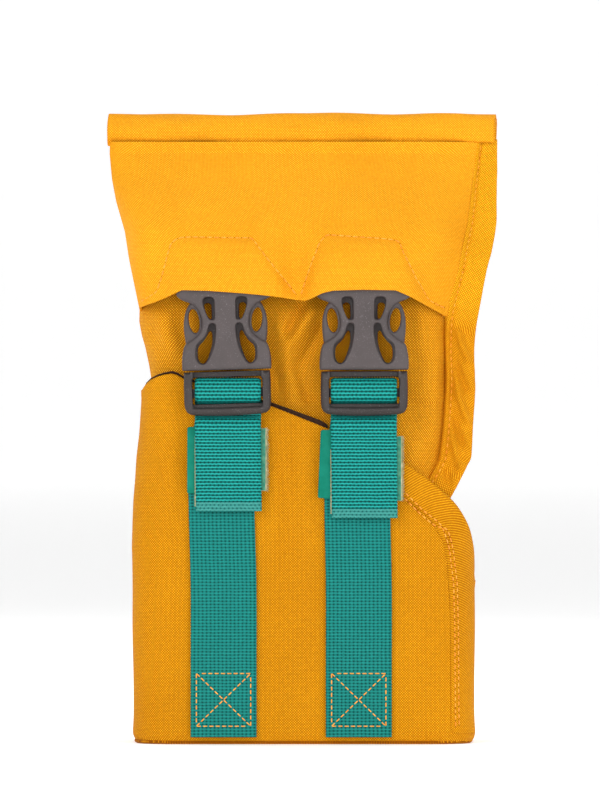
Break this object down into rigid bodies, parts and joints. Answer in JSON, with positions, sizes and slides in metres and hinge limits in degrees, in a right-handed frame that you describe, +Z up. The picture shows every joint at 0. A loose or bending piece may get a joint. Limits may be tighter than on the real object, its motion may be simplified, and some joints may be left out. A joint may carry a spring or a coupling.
{
  "type": "dry bag",
  "caption": "Roll-top waterproof bag standing in a slanted-rim fabric pouch, held by two side-release buckles on webbing straps with hook-and-loop tabs.",
  "frame": {"origin": "centre of the bounding box's bottom face, on the surface the bag stands on", "axes": "+Z up, towards the rolled top; the front with the buckles faces -Y; +X to the right as seen from the front"},
  "size_m": [0.1484, 0.0708, 0.2415],
  "materials": {
    "pouch_fabric": "coated basket weave, orange-yellow",
    "bag_fabric": "coated basket weave, orange-yellow",
    "base_fabric": "coated weave",
    "dark_lining": "dark lining",
    "teal_webbing": "ribbed polyester webbing",
    "hook_tab": "smooth hook tape",
    "loop_tab": "fuzzy loop tape",
    "buckle_plastic": "fine-grained acetal",
    "stiffener_strip": "flexible strip"
  },
  "bodies": {
    "holster": {"pouch_shell": "pouch_fabric", "pouch_base": "base_fabric", "pouch_rim_lining": "dark_lining", "left_strap_webbing": "teal_webbing", "right_strap_webbing": "teal_webbing", "left_hook_tab": "hook_tab", "right_hook_tab": "hook_tab", "left_loop_tab": "loop_tab", "right_loop_tab": "loop_tab", "left_male_buckle": "buckle_plastic", "right_male_buckle": "buckle_plastic"},
    "dry_bag": {"dry_tube": "bag_fabric", "tube_base": "base_fabric", "side_seam_flange": "bag_fabric", "yoke_panel": "bag_fabric", "left_female_buckle": "buckle_plastic", "right_female_buckle": "buckle_plastic", "left_anchor_loop": "teal_webbing", "right_anchor_loop": "teal_webbing"},
    "roll_top": {"rolled_top": "bag_fabric", "closure_stiffener": "stiffener_strip"},
    "left_prong_outer": {"left_prong_outer": "buckle_plastic"},
    "left_prong_inner": {"left_prong_inner": "buckle_plastic"},
    "right_prong_outer": {"right_prong_outer": "buckle_plastic"},
    "right_prong_inner": {"right_prong_inner": "buckle_plastic"}
  },
  "joints": [
    {"name": "dry_bag_lift", "type": "slide", "parent": "holster", "child": "dry_bag", "axis": [0, 0, 1], "range_m": [0, 0.165]},
    {"name": "roll_top_open", "type": "hinge", "parent": "dry_bag", "child": "roll_top", "pos_m": [0.001, 0.0118, 0.225], "axis": [-1, 0, 0], "range_deg": [0, 110]},
    {"name": "left_prong_outer_squeeze", "type": "hinge", "parent": "holster", "child": "left_prong_outer", "pos_m": [-0.0421, -0.0298, 0.143], "axis": [0, 1, 0], "range_deg": [0, 6.5], "stiffness_Nm_per_rad": 0.02},
    {"name": "left_prong_inner_squeeze", "type": "hinge", "parent": "holster", "child": "left_prong_inner", "pos_m": [-0.0151, -0.0298, 0.143], "axis": [0, -1, 0], "range_deg": [0, 6.5], "stiffness_Nm_per_rad": 0.02},
    {"name": "right_prong_outer_squeeze", "type": "hinge", "parent": "holster", "child": "right_prong_outer", "pos_m": [0.0369, -0.0298, 0.143], "axis": [0, -1, 0], "range_deg": [0, 6.5], "stiffness_Nm_per_rad": 0.02},
    {"name": "right_prong_inner_squeeze", "type": "hinge", "parent": "holster", "child": "right_prong_inner", "pos_m": [0.0099, -0.0298, 0.143], "axis": [0, 1, 0], "range_deg": [0, 6.5], "stiffness_Nm_per_rad": 0.02}
  ],
  "couplings": [
    {"joint": "left_prong_inner_squeeze", "follows": "left_prong_outer_squeeze", "ratio": 1},
    {"joint": "right_prong_inner_squeeze", "follows": "right_prong_outer_squeeze", "ratio": 1}
  ]
}
